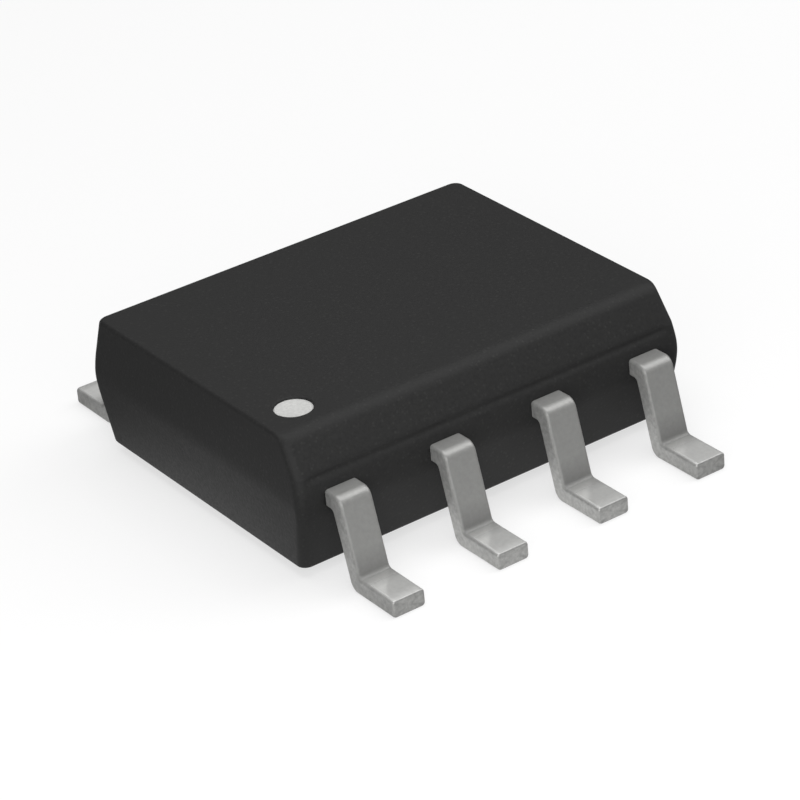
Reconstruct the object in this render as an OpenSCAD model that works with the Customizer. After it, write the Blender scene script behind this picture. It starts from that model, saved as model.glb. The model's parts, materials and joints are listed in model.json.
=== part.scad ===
// Eight-lead small-outline chip with an exposed thermal pad, in millimetres.
// X runs along the body, Y runs from one row of leads to the other, and Z = 0 is the board that the feet stand on.
// Pins 1 to 4 are on the -Y side from -X to +X, and pins 5 to 8 on the +Y side from +X to -X.

/* [Moulded body] */
// Length of the top and bottom faces along X
body_len = 4.7; // [4.5:0.01:4.8]
// Length at the parting line, where the two drafts of an end would meet
parting_len = 4.82; // [4.7:0.01:4.95]
// Width of the bottom face, and of the top face without its bevel
body_wid = 3.6; // [3.4:0.01:3.7]
// Width at the parting line, where the two drafts of a long side would meet
parting_wid = 3.96; // [3.8:0.01:4.05]
// Height of the top face above the board
top_z = 1.58; // [1.45:0.01:1.75]
// Gap between the board and the bottom face
standoff = 0.11; // [0.05:0.01:0.2]
// Radius that softens the parting line all round
parting_r = 1.1; // [0.3:0.1:1.4]
// Radius of the edges of the top and bottom faces
edge_r = 0.05; // [0.02:0.01:0.08]

/* [Pin 1 side] */
// Distance from the middle of the chip to the upper edge of the bevel
bevel_y = 1.67; // [1.5:0.01:1.7]
// Height of the lower edge of the bevel
bevel_z = 1.18; // [1.13:0.01:1.35]
// Radius of the bevel's upper edge
bevel_r = 0.2; // [0.03:0.01:0.2]
// Diameter of the painted dot by pin 1
dot_d = 0.4; // [0.2:0.05:0.6]
// Distance from the dot's centre to the end of the top face, and to the bevel
dot_inset = 0.44; // [0.3:0.01:0.8]
// Depth of the dimple that holds the dot
dimple_depth = 0.045; // [0.02:0.005:0.08]
// Thickness of the dot's paint
paint_t = 0.02; // [0.01:0.005:0.02]

/* [Leads] */
// Distance from one lead to the next
pitch = 1.27; // [1.27]
// Width of a lead outside the body
lead_w = 0.38; // [0.31:0.01:0.5]
// Thickness of the sheet that the leads and the pad are made of
sheet_t = 0.19; // [0.15:0.01:0.2]
// Distance between the tips of opposite feet
tip_span = 5.95; // [5.8:0.01:6.2]
// Distance from the middle to the outer corner of a lead's knee
knee_y = 2.19; // [2.1:0.005:2.2]
// Distance from the middle to the crease between riser and foot
crease_y = 2.41; // [2.3:0.01:2.5]
// Height of the parting line, which is also the middle of the flat sheet
parting_z = 0.91; // [0.85:0.005:0.95]
// Outer radius of the knee and of the heel
bend_r = 0.12; // [0.06:0.01:0.15]
// Inner radius of both bends
crease_r = 0.05; // [0.02:0.01:0.08]

/* [Inner lead fingers] */
// Width of the ears that lock a finger in the body
ear_w = 0.56; // [0.45:0.01:0.6]
// Diameter of the lock hole that the moulding compound fills
lock_hole_d = 0.18; // [0.1:0.02:0.2]
// Distance from the middle of the chip to the finger tips
tip_y = 0.95; // [0.85:0.01:1.05]
// Width of a finger tip
tip_w = 0.4; // [0.3:0.01:0.45]
// Place along X of the tip of an inner finger
inner_tip_x = 0.47; // [0.35:0.01:0.6]
// Place along X of the tip of a corner finger
corner_tip_x = 1.27; // [1.1:0.01:1.4]

/* [Thermal pad and die] */
// Length of the exposed pad along X
pad_len = 2.1; // [1.8:0.05:2.4]
// Width of the exposed pad along Y
pad_wid = 1.48; // [1.2:0.02:1.6]
// How far the pad stands out of the bottom face
pad_proud = 0.02; // [0.01:0.01:0.04]
// Width of the half-thick ledge that locks the pad in the body
ledge_w = 0.2; // [0.1:0.05:0.3]
// Width of the two tie bars
tie_w = 0.3; // [0.2:0.05:0.4]
// Length of the silicon die along X
die_len = 1.4; // [1:0.1:1.8]
// Width of the silicon die along Y
die_wid = 1.0; // [0.8:0.1:1.2]
// Thickness of the silicon die
die_t = 0.24; // [0.1:0.02:0.3]
// Thickness of the adhesive under the die
glue_t = 0.025; // [0.02:0.005:0.03]
// How far the adhesive spreads past the die
glue_spread = 0.06; // [0.02:0.02:0.1]

/* [Bond wires] */
// Diameter of a bond wire
wire_d = 0.05; // [0.04:0.005:0.06]
// Diameter of the ball that joins a wire to the die
ball_d = 0.11; // [0.1:0.01:0.13]
// Height of the ball
ball_h = 0.03; // [0.02:0.005:0.04]
// Height above the board that the wire loops bend towards
loop_z = 1.3; // [1.2:0.01:1.34]
// Distance from the edge of the die to the balls
ball_inset = 0.11; // [0.08:0.01:0.15]

/* [Hidden] */
PINS = [1, 2, 3, 4, 5, 6, 7, 8];

sheet_top = parting_z + sheet_t / 2;
sheet_bot = parting_z - sheet_t / 2;
tip_out = tip_span / 2;
root_y = 1.75;
neck_y = 1.7;
ear_out = 1.64;
ear_in = 1.34;
pad_z = standoff - pad_proud;
pad_top = pad_z + sheet_t;
ledge_z = pad_z + sheet_t / 2;
glue_top = pad_top + glue_t;
die_top = glue_top + die_t;
tie_reach = 2.2;
tie_root = 0.1;
tie_heel = 0.12;
tie_run = 0.4;
tie_shift = 0.08;
dot_x = -body_len / 2 + dot_inset;
dot_y = -bevel_y + dot_inset;
wire_sides = 8;
wire_steps = 10;
ball_spacing = 0.4;
neck_h = 0.02;
loop_share = 0.45;
stitch_inset = 0.12;
stitch_shift = 0.03;
stitch_gap = 0.004;
stitch_len = 0.13;
stitch_wid = 0.09;
bevel_side_r = parting_r * 0.8;
beyond = 1;
compound_colour = "#363636";
tin_colour = "#b4b4b4";
pad_colour = "#e2e2e2";
gold_colour = "#d9a441";
silicon_colour = "#5a6270";
glue_colour = "#c9c4b8";
dot_colour = "#d8d8d8";

function unit(v) = v / norm(v);

// Points of an arc of radius r that rounds the corner b between a and c, in n steps
function rounded(a, b, c, r, n) =
    let (
        u = unit(a - b),
        v = unit(c - b),
        half = acos(u * v) / 2,
        centre = b + unit(u + v) * r / sin(half),
        first = b + u * r / tan(half) - centre,
        turn = (u[0] * v[1] - u[1] * v[0] > 0 ? -1 : 1) * (180 - 2 * half)
    )
    [for (i = [0:n])
        let (t = turn * i / n)
        centre + [first[0] * cos(t) - first[1] * sin(t), first[0] * sin(t) + first[1] * cos(t)]];

// Closed outline whose corners are given as [x, y, radius, steps], with radius 0 for a sharp one
function outline(corners) =
    [for (i = [0:len(corners) - 1])
        let (
            n = len(corners),
            before = corners[(i + n - 1) % n],
            here = corners[i],
            after = corners[(i + 1) % n],
            a = [before[0], before[1]],
            b = [here[0], here[1]],
            c = [after[0], after[1]]
        )
        each here[2] > 0 ? rounded(a, b, c, here[2], here[3]) : [b]];

// Half width of the drafted long side at a height above the parting line
function side_y(z) =
    parting_wid / 2 - (parting_wid - body_wid) / 2 * (z - parting_z) / (top_z - parting_z);

// Extrudes a side view drawn in Y and Z along X
module along_x(width) {
    rotate([90, 0, 90])
        linear_extrude(height = width, center = true)
            children();
}

// Extrudes a side view drawn in X and Z along Y
module along_y(width) {
    rotate([90, 0, 0])
        linear_extrude(height = width, center = true)
            children();
}

// Side view of the body along Y: drafted ends that bow out to the parting line
module end_profile() {
    polygon(outline([
        [-body_len / 2, standoff, edge_r, 4],
        [body_len / 2, standoff, edge_r, 4],
        [parting_len / 2, parting_z, parting_r, 6],
        [body_len / 2, top_z, edge_r, 4],
        [-body_len / 2, top_z, edge_r, 4],
        [-parting_len / 2, parting_z, parting_r, 6]
    ]));
}

// Side view of the body along X: drafted long sides, with the bevel over pins 1 to 4.
// The arc under the bevel is a little tighter, so that it ends below the bevel's lower edge
module side_profile() {
    polygon(outline([
        [-body_wid / 2, standoff, edge_r, 4],
        [body_wid / 2, standoff, edge_r, 4],
        [parting_wid / 2, parting_z, parting_r, 8],
        [body_wid / 2, top_z, edge_r, 4],
        [-bevel_y, top_z, bevel_r, 5],
        [-side_y(bevel_z), bevel_z, 0, 0],
        [-parting_wid / 2, parting_z, bevel_side_r, 8]
    ]));
}

// Side view of the bent part of a lead, from inside the body to the tip of the foot
module lead_profile() {
    riser = unit([crease_y - knee_y, sheet_t - sheet_top]);
    normal = [riser[1], -riser[0]] * sheet_t;
    under = [knee_y, sheet_top] + normal;
    lean = riser[0] / riser[1];
    armpit_y = under[0] + (sheet_bot - under[1]) * lean;
    heel_y = under[0] - under[1] * lean;
    polygon(outline([
        [root_y, sheet_top, 0, 0],
        [root_y, sheet_bot, 0, 0],
        [armpit_y, sheet_bot, crease_r, 3],
        [heel_y, 0, bend_r, 5],
        [tip_out, 0, 0, 0],
        [tip_out, sheet_t, 0, 0],
        [crease_y, sheet_t, crease_r, 3],
        [knee_y, sheet_top, bend_r, 5]
    ]));
}

// Plan of the flat finger inside the body, which narrows towards its tip
module finger_plan(lead_x, tip_x) {
    difference() {
        polygon([
            [lead_x - lead_w / 2, root_y],
            [lead_x - lead_w / 2, neck_y],
            [lead_x - ear_w / 2, ear_out],
            [lead_x - ear_w / 2, ear_in],
            [tip_x - tip_w / 2, tip_y],
            [tip_x + tip_w / 2, tip_y],
            [lead_x + ear_w / 2, ear_in],
            [lead_x + ear_w / 2, ear_out],
            [lead_x + lead_w / 2, neck_y],
            [lead_x + lead_w / 2, root_y]
        ]);
        translate([lead_x, (ear_out + ear_in) / 2])
            circle(d = lock_hole_d, $fn = 12);
    }
}

// Lead on the +X half of the +Y side, where the corner lead stands at 1.5 pitches and the inner one at 0.5
module lead(corner) {
    lead_x = pitch * (corner ? 1.5 : 0.5);
    color(tin_colour)
        union() {
            translate([lead_x, 0, 0])
                along_x(lead_w)
                    lead_profile();
            translate([0, 0, sheet_bot])
                linear_extrude(height = sheet_t)
                    finger_plan(lead_x, corner ? corner_tip_x : inner_tip_x);
        }
}

// Sends what is made for the +X half of the +Y side to the place of a pin
module at_pin(pin) {
    left = pin < 3 || pin > 6;
    near = pin < 5;
    mirror([left ? 1 : 0, 0, 0])
        mirror([0, near ? 1 : 0, 0])
            children();
}

function is_corner(pin) = pin == 1 || pin == 4 || pin == 5 || pin == 8;

module pin_lead(pin) {
    at_pin(pin)
        lead(is_corner(pin));
}

// Downset pad: its lower half shows under the body, its wider upper half locks in the compound,
// and a tie bar rises from each end to the level of the sheet and stops short of the surface
module thermal_pad() {
    bar_end = pad_len / 2 + ledge_w;
    color(pad_colour)
        union() {
            translate([0, 0, pad_z + sheet_t / 2])
                cube([pad_len, pad_wid, sheet_t], center = true);
            translate([0, 0, ledge_z + sheet_t / 4])
                cube([pad_len + 2 * ledge_w, pad_wid + 2 * ledge_w, sheet_t / 2], center = true);
            for (side = [0, 1])
                mirror([side, 0, 0])
                    along_y(tie_w)
                        polygon([
                            [bar_end - tie_root, ledge_z],
                            [bar_end + tie_heel, ledge_z],
                            [bar_end + tie_heel + tie_run, sheet_bot],
                            [tie_reach, sheet_bot],
                            [tie_reach, sheet_top],
                            [bar_end + tie_heel + tie_run - tie_shift, sheet_top],
                            [bar_end + tie_heel - tie_shift, pad_top],
                            [bar_end - tie_root, pad_top]
                        ]);
        }
}

module die_attach() {
    color(glue_colour)
        translate([0, 0, pad_top + glue_t / 2])
            cube([die_len + 2 * glue_spread, die_wid + 2 * glue_spread, glue_t], center = true);
}

module silicon_die() {
    color(silicon_colour)
        translate([0, 0, glue_top + die_t / 2])
            cube([die_len, die_wid, die_t], center = true);
}

// Point at t on the cubic curve that runs up from the ball, over the loop and down to the finger
function loop_point(p, t) =
    pow(1 - t, 3) * p[0] + 3 * pow(1 - t, 2) * t * p[1] + 3 * (1 - t) * t * t * p[2] + t * t * t * p[3];

function loop_slope(p, t) =
    unit(pow(1 - t, 2) * (p[1] - p[0]) + 2 * (1 - t) * t * (p[2] - p[1]) + t * t * (p[3] - p[2]));

// Ring of points round a centre: across is the flat direction square to the wire, up lies in the loop's plane
function ring(centre, up, across, half_up, half_across) =
    [for (k = [0:wire_sides - 1])
        let (a = 360 * (k + 0.5) / wire_sides)
        centre + up * half_up * cos(a) + across * half_across * sin(a)];

// Bond wire: a flattened ball on the die, a neck, a loop and a flat stitch on the finger
module bond_wire(corner) {
    start = [die_len / 2 - ball_inset - (corner ? 0 : ball_spacing), die_wid / 2 - ball_inset];
    finish = [corner ? corner_tip_x : inner_tip_x, tip_y + stitch_inset];
    span = norm(finish - start);
    along = unit([finish[0] - start[0], finish[1] - start[1], 0]);
    across = [-along[1], along[0], 0];
    rise = [0, 0, 1];
    base = [start[0], start[1], 0];
    neck_z = die_top + ball_h + neck_h;
    curve = [
        [0, neck_z],
        [0, loop_z],
        [span * loop_share, loop_z],
        [span, sheet_top + wire_d / 2 + stitch_gap]
    ];
    rings = concat(
        [ring(base + rise * die_top, -along, across, ball_d / 2, ball_d / 2)],
        [ring(base + rise * (die_top + ball_h), -along, across, ball_d / 2, ball_d / 2)],
        [for (i = [0:wire_steps])
            let (
                p = loop_point(curve, i / wire_steps),
                s = loop_slope(curve, i / wire_steps)
            )
            ring(base + along * p[0] + rise * p[1], rise * s[0] - along * s[1], across, wire_d / 2, wire_d / 2)],
        [ring(base + along * (span + stitch_shift) + rise * sheet_top, along, across, stitch_len / 2, stitch_wid / 2)]
    );
    last = len(rings) - 1;
    sides = [
        for (i = [0:last - 1], k = [0:wire_sides - 1])
            let (
                a = i * wire_sides + k,
                b = i * wire_sides + (k + 1) % wire_sides
            )
            each [[a, b, b + wire_sides], [a, b + wire_sides, a + wire_sides]]
    ];
    color(gold_colour)
        polyhedron(
            points = [for (r = rings) each r],
            faces = concat(
                [[for (k = [0:wire_sides - 1]) wire_sides - 1 - k]],
                sides,
                [[for (k = [0:wire_sides - 1]) last * wire_sides + k]]
            )
        );
}

module pin_wire(pin) {
    at_pin(pin)
        bond_wire(is_corner(pin));
}

module pin_1_dot() {
    color(dot_colour)
        translate([dot_x, dot_y, top_z - dimple_depth])
            cylinder(d = dot_d, h = paint_t, $fn = 48);
}

// Epoxy compound moulded in one shot round the leads, the pad, the die and the wires
module mould_body() {
    color(compound_colour)
        difference() {
            intersection() {
                along_y(parting_wid + beyond)
                    end_profile();
                along_x(parting_len + beyond)
                    side_profile();
            }
            translate([dot_x, dot_y, top_z - dimple_depth])
                cylinder(d = dot_d, h = beyond, $fn = 48);
            thermal_pad();
            die_attach();
            silicon_die();
            for (pin = PINS) {
                pin_lead(pin);
                pin_wire(pin);
            }
        }
}

mould_body();
thermal_pad();
die_attach();
silicon_die();
pin_1_dot();
pin_lead(1);  // lead_1
pin_lead(2);  // lead_2
pin_lead(3);  // lead_3
pin_lead(4);  // lead_4
pin_lead(5);  // lead_5
pin_lead(6);  // lead_6
pin_lead(7);  // lead_7
pin_lead(8);  // lead_8
pin_wire(1);  // bond_wire_1
pin_wire(2);  // bond_wire_2
pin_wire(3);  // bond_wire_3
pin_wire(4);  // bond_wire_4
pin_wire(5);  // bond_wire_5
pin_wire(6);  // bond_wire_6
pin_wire(7);  // bond_wire_7
pin_wire(8);  // bond_wire_8
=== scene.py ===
"""Small-outline chip with an exposed thermal pad: fine surfaces, finishes, studio and camera for its frame.

Every length is in metres in the frame's own axes: X along the body, Y across it, and Z = 0 the board
that the feet stand on. MM turns the millimetres of the drawing into metres.
"""

import json
from math import radians

import bmesh
import bpy
import numpy as np
from bpy.props import FloatProperty, FloatVectorProperty, PointerProperty
from mathutils import Matrix, Vector

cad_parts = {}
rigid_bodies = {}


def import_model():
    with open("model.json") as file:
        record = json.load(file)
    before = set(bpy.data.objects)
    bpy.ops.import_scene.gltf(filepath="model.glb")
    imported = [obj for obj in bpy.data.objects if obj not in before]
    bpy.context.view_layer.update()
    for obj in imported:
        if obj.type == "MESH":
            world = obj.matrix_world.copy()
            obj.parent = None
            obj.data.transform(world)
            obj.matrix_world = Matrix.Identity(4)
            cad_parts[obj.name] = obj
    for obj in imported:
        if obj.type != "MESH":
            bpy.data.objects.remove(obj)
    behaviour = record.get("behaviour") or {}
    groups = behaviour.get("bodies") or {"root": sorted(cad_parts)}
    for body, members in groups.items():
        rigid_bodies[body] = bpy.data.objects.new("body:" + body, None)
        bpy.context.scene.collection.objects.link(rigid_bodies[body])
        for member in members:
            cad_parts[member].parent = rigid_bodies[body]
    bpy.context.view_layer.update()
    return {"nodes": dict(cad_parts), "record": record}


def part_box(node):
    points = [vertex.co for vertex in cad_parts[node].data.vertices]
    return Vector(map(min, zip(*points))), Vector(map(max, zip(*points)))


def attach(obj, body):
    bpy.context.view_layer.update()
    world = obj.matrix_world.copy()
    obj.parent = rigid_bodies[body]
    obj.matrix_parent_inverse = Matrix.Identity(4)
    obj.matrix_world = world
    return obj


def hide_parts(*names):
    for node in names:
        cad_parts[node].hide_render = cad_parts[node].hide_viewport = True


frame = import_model()

bl_info = {
    "name": "Small-outline chip",
    "version": (1, 0, 0),
    "blender": (4, 5, 0),
    "location": "3D View > Sidebar > Chip",
    "description": "Builds the fine surfaces, finishes and studio of an eight-lead small-outline chip",
    "category": "Add Mesh",
}

MM = 0.001
QUARTER_TURN = np.pi / 2
UP = Vector((0, 0, 1))
BODY_LOW, BODY_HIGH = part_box("mould_body")
LEAD_LOW, LEAD_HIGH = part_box("lead_5")
DOT_LOW, DOT_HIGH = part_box("pin_1_dot")
FEET = {mount["name"]: mount["pos_m"] for mount in frame["record"]["mounts"]}
PINS = range(1, 9)
CORNER_PINS = (1, 4, 5, 8)
INSIDE = ("die_attach", "silicon_die", *(f"bond_wire_{pin}" for pin in PINS))
# What each point of a lead is marked with for its finish, from 0 to 1: sheared; pressed smooth and painted
# paler with light on the foot; dulled and darkened with painted shade
MARKS = ("sheared", "pressed_and_lit", "dulled_and_shaded")
# Faces that meet at more than this angle, in degrees, have a sharp edge between them
SHARP_ANGLE = 40
# Points of a frame node's loose triangles that lie closer than this are one point
SAME_PLACE = 1e-4 * MM
# Noise textures stay mostly within this span, which a material stretches over its own range
NOISE_SPAN = {"From Min": 0.3, "From Max": 0.7}


def linear(hex_colour):
    """Linear red, green and blue of an sRGB colour written as #rrggbb."""
    srgb = np.array([int(hex_colour[i : i + 2], 16) / 255 for i in (1, 3, 5)])
    return tuple(np.where(srgb <= 0.04045, srgb / 12.92, ((srgb + 0.055) / 1.055) ** 2.4).tolist())


def length(name, millimetres, description):
    """A length property whose default is given in millimetres."""
    return FloatProperty(
        name=name, description=description, default=millimetres * MM, min=0, precision=6, unit="LENGTH"
    )


def colour(name, hex_colour, description):
    """A colour property whose default is given as sRGB hex."""
    return FloatVectorProperty(
        name=name, description=description, default=linear(hex_colour), min=0, max=1, subtype="COLOR"
    )


class CHIP_PG_body(bpy.types.PropertyGroup):
    face_length: length("Face length", 4.7, "Length of the top and bottom faces along X")
    parting_length: length("Parting length", 4.82, "Length where the two drafts of an end would meet")
    face_width: length("Face width", 3.6, "Width of the bottom face, and of the top face without its bevel")
    parting_width: length("Parting width", 3.96, "Width where the two drafts of a long side would meet")
    parting_height: length("Parting height", 0.91, "Height of the parting line above the board")
    parting_radius: length("Parting radius", 1.1, "Radius that softens the parting line")
    edge_radius: length("Edge radius", 0.05, "Radius of the edges of the top and bottom faces")
    corner_radius: length("Corner radius", 0.1, "Radius of the four upright corners")
    bevel_reach: length("Bevel reach", 1.67, "Distance from the middle to the upper edge of the bevel")
    bevel_height: length("Bevel height", 1.18, "Height of the lower edge of the bevel")
    bevel_radius: length("Bevel radius", 0.2, "Radius of the upper edge of the bevel")
    groove_depth: length("Groove depth", 0.022, "Depth of the fine groove just under the bevel")
    groove_width: length("Groove width", 0.038, "Half width of the fine groove under the bevel")
    groove_drop: length("Groove drop", 0.03, "Distance from the bevel's lower edge down to the fine groove")
    rim_radius: length("Rim radius", 0.02, "Radius of the rim of the dimple")
    compound: colour("Compound", "#292929", "Colour of the moulding compound")
    filler: colour("Filler", "#3f3f3e", "Colour of the glass filler grains that show in the compound")


class CHIP_PG_dot(bpy.types.PropertyGroup):
    meniscus: length("Meniscus", 0.004, "How far the paint stands higher at its edge than in the middle")
    paint: colour("Paint", "#d2d2d0", "Colour of the marking paint")


class CHIP_PG_leads(bpy.types.PropertyGroup):
    width: length("Width", 0.38, "Width of a lead outside the body")
    sheet: length("Sheet", 0.19, "Thickness of the sheet")
    knee_reach: length("Knee reach", 2.19, "Distance from the middle to the outer corner of the knee")
    crease_reach: length("Crease reach", 2.41, "Distance from the middle to the crease over the foot")
    outer_radius: length("Outer radius", 0.12, "Outer radius of the knee and of the heel")
    inner_radius: length("Inner radius", 0.05, "Inner radius of both bends")
    edge_radius: length("Edge radius", 0.036, "Radius of the long edges that stamping and plating leave")
    tip_radius: length("Tip radius", 0.02, "Radius of the edges round the end of the foot")
    neck_reach: length("Neck reach", 1.7, "Distance from the middle to where the finger starts to widen")
    ear_outer: length("Ear outer reach", 1.64, "Distance from the middle to the outer corner of the ears")
    ear_inner: length("Ear inner reach", 1.34, "Distance from the middle to the inner corner of the ears")
    ear_width: length("Ear width", 0.56, "Width over the ears that lock the finger in the body")
    finger_width: length("Finger tip width", 0.4, "Width of the inner end of a finger")
    inner_tip: length("Inner finger place", 0.47, "Place along X of the tip of an inner finger")
    corner_tip: length("Corner finger place", 1.27, "Place along X of the tip of a corner finger")
    lock_hole: length("Lock hole", 0.18, "Diameter of the hole that the compound fills")
    # Painted shade: the tin is drawn darker from the body out to this reach, fading out over this length
    body_shade_reach: length("Bleed reach", 2.13, "Distance from the middle to the end of the resin on the tin")
    body_shade_fade: length("Bleed fade", 0.22, "Length over which that resin, bled from the mould, thins out")
    tin: colour("Tin", "#a3a3a1", "Colour of the matte tin plate on the leads")
    # Painted light: the pressed foot is drawn in this paler colour
    lit_foot_tin: colour("Pressed tin", "#dadad8", "Colour of the tin where the forming tool pressed it")
    sheared_tin: colour("Sheared sides", "#b0b0ae", "Colour of the sheared sides of the leads")


class CHIP_PG_pad(bpy.types.PropertyGroup):
    edge_radius: length("Edge radius", 0.01, "Radius of the edges of the thermal pad")
    tin: colour("Tin", "#dededc", "Colour of the tin plate on the pad")


class CHIP_PG_inside(bpy.types.PropertyGroup):
    silicon: colour("Silicon", "#5a6270", "Colour of the silicon die")
    adhesive: colour("Adhesive", "#c9c4b8", "Colour of the silver adhesive under the die")
    gold: colour("Gold", "#d9a441", "Colour of the bond wires")


class CHIP_PG_stage(bpy.types.PropertyGroup):
    camera_place: FloatVectorProperty(
        name="Camera place",
        description="Where the camera stands",
        default=(-17.05 * MM, -26.257 * MM, 17.563 * MM),
        unit="LENGTH",
        subtype="TRANSLATION",
    )
    camera_aim: FloatVectorProperty(
        name="Camera aim",
        description="Point at the middle of the picture",
        default=(-0.274 * MM, -0.649 * MM, 0.785 * MM),
        unit="LENGTH",
        subtype="TRANSLATION",
    )
    camera_roll: FloatProperty(
        name="Camera roll",
        description="Turn of the camera about its line of sight",
        default=radians(-5.25),
        unit="ROTATION",
    )
    focal_length: FloatProperty(
        name="Focal length",
        description="Focal length in millimetres",
        default=152.53,
        min=1,
        unit="CAMERA",
    )
    floor: colour("Floor", "#a0a0a0", "Colour of the studio floor")
    floor_glow: FloatProperty(
        name="Floor glow",
        description="White that the floor adds to its picture",
        default=0.655,
        min=0,
        max=1,
        subtype="FACTOR",
    )
    pool_glow: FloatProperty(
        name="Pool glow",
        description="White that the floor close to the chip adds to mirror images",
        default=0.98,
        min=0,
        max=2,
        subtype="FACTOR",
    )
    pool_reach: length("Pool reach", 2.2, "Distance from the middle to where the pool starts to fade")
    pool_end: length("Pool end", 4.1, "Distance from the middle to the end of the pool")
    ambient: colour("Ambient", "#616161", "Colour of the light from all round")


def chip(group):
    """The settings of one group, such as body or leads."""
    return getattr(bpy.context.scene, "chip_" + group)


def unit(vector):
    """A vector brought to length one."""
    return vector / np.linalg.norm(vector)


def arc(before, corner, after, radius, steps):
    """Arc that rounds a corner.

    Its centre lies on the corner's bisector, at the radius over the sine of half the angle, and the arc
    blends its two end spokes by the sines of the turn still to go and of the turn made.
    """
    back = unit(before - corner)
    ahead = unit(after - corner)
    half = np.arccos(back @ ahead) / 2
    centre = corner + unit(back + ahead) * radius / np.sin(half)
    first = corner + back * radius / np.tan(half) - centre
    last = corner + ahead * radius / np.tan(half) - centre
    turn = np.pi - 2 * half
    made = np.linspace(0, turn, steps + 1)[:, None]
    return centre + (first * np.sin(turn - made) + last * np.sin(made)) / np.sin(turn)


def rounded(start, corners, end):
    """Line from start to end whose corners, given as a place, a radius and a number of steps, are arcs."""
    places = [np.array(spot, float) for spot in (start, *(corner[0] for corner in corners), end)]
    arcs = [
        arc(places[i], places[i + 1], places[i + 2], radius, steps)
        for i, (_, radius, steps) in enumerate(corners)
    ]
    return np.vstack([places[0], *arcs, places[-1]])


def rounded_square(along, corner_steps):
    """Walk round a square, anticlockwise from the lower end of its +X side, through the same places along
    each side. Gives the square's own points, which stand still at the corners, and the outward directions,
    which turn there by a quarter circle."""
    turn = np.linspace(0, QUARTER_TURN, corner_steps + 1)[1:-1]
    points, outward = [], []
    for quarter in range(4):
        made = quarter * QUARTER_TURN
        spin = np.array([[np.cos(made), np.sin(made)], [-np.sin(made), np.cos(made)]])
        side = np.column_stack([np.ones(len(along)), along]) @ spin
        points += [side, np.repeat(side[-1:], len(turn), 0)]
        outward += [
            np.repeat(np.array([[1.0, 0.0]]) @ spin, len(along), 0),
            np.column_stack([np.cos(turn + made), np.sin(turn + made)]),
        ]
    return np.vstack(points), np.vstack(outward)


def closed_skin(name, rings):
    """Closed surface through rings of points that all run the same way: quads from ring to ring, and at each
    end a fan of triangles to the middle of its ring. Seen from the last ring, all run anticlockwise, so that
    faces point outwards."""
    count, around = rings.shape[:2]
    points = np.vstack([rings.reshape(-1, 3), rings[0].mean(0), rings[-1].mean(0)])
    ring = np.arange(count - 1)[:, None] * around
    here = np.arange(around)
    after = (here + 1) % around
    quads = np.stack([ring + here, ring + after, ring + around + after, ring + around + here], -1)
    low, high = count * around, count * around + 1
    top = (count - 1) * around
    fans = [
        np.column_stack([after, here, np.full(around, low)]),
        np.column_stack([top + here, top + after, np.full(around, high)]),
    ]
    mesh = bpy.data.meshes.new(name)
    mesh.from_pydata(points.tolist(), [], quads.reshape(-1, 4).tolist() + np.vstack(fans).tolist())
    mesh.validate()
    return mesh


def turned(name, x, y, profile, sides):
    """Closed surface turned round an upright axis: a circle for each distance from the axis and height."""
    turn = np.arange(sides) * 2 * np.pi / sides
    rings = [
        np.column_stack([x + reach * np.cos(turn), y + reach * np.sin(turn), np.full(sides, height)])
        for reach, height in profile
    ]
    return closed_skin(name, np.array(rings))


def place(name, mesh, node, material):
    """Adds a piece that stands for a node of the frame, with the finish that it is given, and hides that
    node.
    """
    mesh.name = name
    mesh.materials.clear()
    mesh.materials.append(material)
    mesh.shade_smooth()
    mesh.set_sharp_from_angle(angle=radians(SHARP_ANGLE))
    piece = bpy.data.objects.new(name, mesh)
    bpy.context.collection.objects.link(piece)
    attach(piece, "root")
    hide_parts(node)
    return piece


def node_copy(node):
    """Mesh of a frame node with its loose triangles merged."""
    edit = bmesh.new()
    edit.from_mesh(frame["nodes"][node].data)
    bmesh.ops.remove_doubles(edit, verts=edit.verts, dist=SAME_PLACE)
    mesh = bpy.data.meshes.new(node + "_copy")
    edit.to_mesh(mesh)
    edit.free()
    return mesh


def carved(mesh, cutters):
    """A closed mesh less the space of the cutters, which are closed meshes that may touch each other."""
    hold = bpy.data.collections.new("cutters")
    bpy.context.scene.collection.children.link(hold)
    for cutter in cutters:
        hold.objects.link(bpy.data.objects.new("cutter", cutter))
    blank = bpy.data.objects.new("blank", mesh)
    bpy.context.scene.collection.objects.link(blank)
    cut = blank.modifiers.new("cut", "BOOLEAN")
    cut.operation = "DIFFERENCE"
    cut.solver = "EXACT"
    cut.operand_type = "COLLECTION"
    cut.collection = hold
    bpy.context.view_layer.update()
    result = bpy.data.meshes.new_from_object(blank.evaluated_get(bpy.context.evaluated_depsgraph_get()))
    for spare in (*hold.objects, blank):
        bpy.data.objects.remove(spare)
    bpy.data.collections.remove(hold)
    return result


def add(tree, kind, settings=(), links=()):
    """Adds one node. Settings pair a property, or an input by name or number, with its value, and links pair
    an input with the output that feeds it."""
    node = tree.nodes.new(kind)
    for key, value in dict(settings).items():
        if isinstance(key, str) and hasattr(node, key):
            setattr(node, key, value)
        else:
            node.inputs[key].default_value = value
    for key, output in dict(links).items():
        tree.links.new(output, node.inputs[key])
    return node


def new_material(name):
    """A new material, its empty node tree, and the output that gives the place on the object."""
    material = bpy.data.materials.new(name)
    material.use_nodes = True
    tree = material.node_tree
    tree.nodes.clear()
    return material, tree, add(tree, "ShaderNodeTexCoord").outputs["Object"]


def opaque(rgb):
    """A colour with full opacity."""
    return (*rgb, 1.0)


def per(size):
    """Texture scale whose pattern repeats about once in a size in millimetres."""
    return 1 / (size * MM)


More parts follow.
